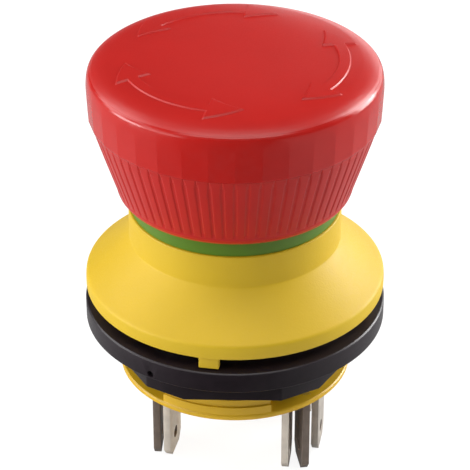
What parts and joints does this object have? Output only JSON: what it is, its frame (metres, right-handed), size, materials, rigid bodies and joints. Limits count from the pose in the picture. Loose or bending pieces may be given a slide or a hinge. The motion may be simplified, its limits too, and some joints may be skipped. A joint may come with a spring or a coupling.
{
  "type": "emergency stop button",
  "caption": "Panel-mounted emergency stop button: red twist-release mushroom head on a yellow bell collar, with locking nut and blade terminals.",
  "frame": {"origin": "on the button's axis, in the plane of the panel's front face where the collar seats", "axes": "+Z along the axis from the panel towards the hand; -Y is the side with the locating lug; +X to the right seen from the lug's side"},
  "size_m": [0.0336, 0.0336, 0.0483],
  "materials": {
    "red_plastic": "satin moulded crown, gloss band",
    "yellow_plastic": "fine grained moulding",
    "green_plastic": "satin moulding",
    "black_plastic": "matte moulding",
    "dark_plastic": "satin glass-filled nylon",
    "ivory_plastic": "matte moulding",
    "black_rubber": "matte",
    "steel": "turned and zinc plated",
    "spring_steel": "drawn wire",
    "tinned_brass": "stamped and tin plated",
    "silver_alloy": "pressed silver alloy",
    "bronze": "stamped spring bronze"
  },
  "bodies": {
    "housing": {"threaded_barrel": "black_plastic", "bell_collar": "yellow_plastic", "panel_gasket": "black_rubber", "collar_oring": "black_rubber", "indicator_ring": "green_plastic", "wiper_seal": "black_rubber", "contact_base": "yellow_plastic", "terminal_front_left": "tinned_brass", "terminal_front_right": "tinned_brass", "terminal_rear_left": "tinned_brass", "terminal_rear_right": "tinned_brass", "contact_rivets": "silver_alloy", "return_spring": "spring_steel", "contact_spring_left": "spring_steel", "contact_spring_right": "spring_steel"},
    "slider": {"slider": "black_plastic", "contact_pusher": "ivory_plastic", "latch_spring_left": "spring_steel", "latch_spring_right": "spring_steel", "torsion_spring": "spring_steel"},
    "head": {"head": "red_plastic", "stem": "steel", "stem_clip": "steel"},
    "latch_left": {"latch_pin_left": "steel"},
    "latch_right": {"latch_pin_right": "steel"},
    "bridge_left": {"bridge_left": "bronze"},
    "bridge_right": {"bridge_right": "bronze"},
    "locking_ring": {"locking_ring": "dark_plastic"},
    "nut": {"hex_nut": "dark_plastic"}
  },
  "joints": [
    {"name": "head_press", "type": "slide", "parent": "housing", "child": "slider", "axis": [0, 0, 1], "range_m": [-0.0036, 0], "stiffness_N_per_m": 1000, "springref_m": 0.004, "deforming": ["return_spring", "contact_spring_left", "contact_spring_right"]},
    {"name": "head_twist", "type": "hinge", "parent": "slider", "child": "head", "pos_m": [0, 0, 0.02], "axis": [0, 0, 1], "range_deg": [-40, 40], "stiffness_Nm_per_rad": 0.06, "deforming": ["torsion_spring"]},
    {"name": "latch_left", "type": "slide", "parent": "slider", "child": "latch_left", "axis": [-1, 0, 0], "range_m": [-0.0008, 0], "stiffness_N_per_m": 400, "springref_m": 0.001, "deforming": ["latch_spring_left"]},
    {"name": "latch_right", "type": "slide", "parent": "slider", "child": "latch_right", "axis": [1, 0, 0], "range_m": [-0.0008, 0], "stiffness_N_per_m": 400, "springref_m": 0.001, "deforming": ["latch_spring_right"]},
    {"name": "bridge_left_travel", "type": "slide", "parent": "housing", "child": "bridge_left", "axis": [0, 0, 1], "range_m": [-0.0036, 0]},
    {"name": "bridge_right_travel", "type": "slide", "parent": "housing", "child": "bridge_right", "axis": [0, 0, 1], "range_m": [-0.0036, 0]},
    {"name": "nut_travel", "type": "slide", "parent": "housing", "child": "locking_ring", "axis": [0, 0, 1], "range_m": [-0.0009, 0.00025]},
    {"name": "nut_turn", "type": "hinge", "parent": "locking_ring", "child": "nut", "pos_m": [0, 0, -0.0057], "axis": [0, 0, 1], "range_deg": [-216, 60]}
  ],
  "couplings": [
    {"joint": "bridge_left_travel", "follows": "head_press", "ratio": 1},
    {"joint": "bridge_right_travel", "follows": "head_press", "ratio": 1},
    {"joint": "nut_turn", "follows": "nut_travel", "rad_per_m": 4188.8}
  ]
}
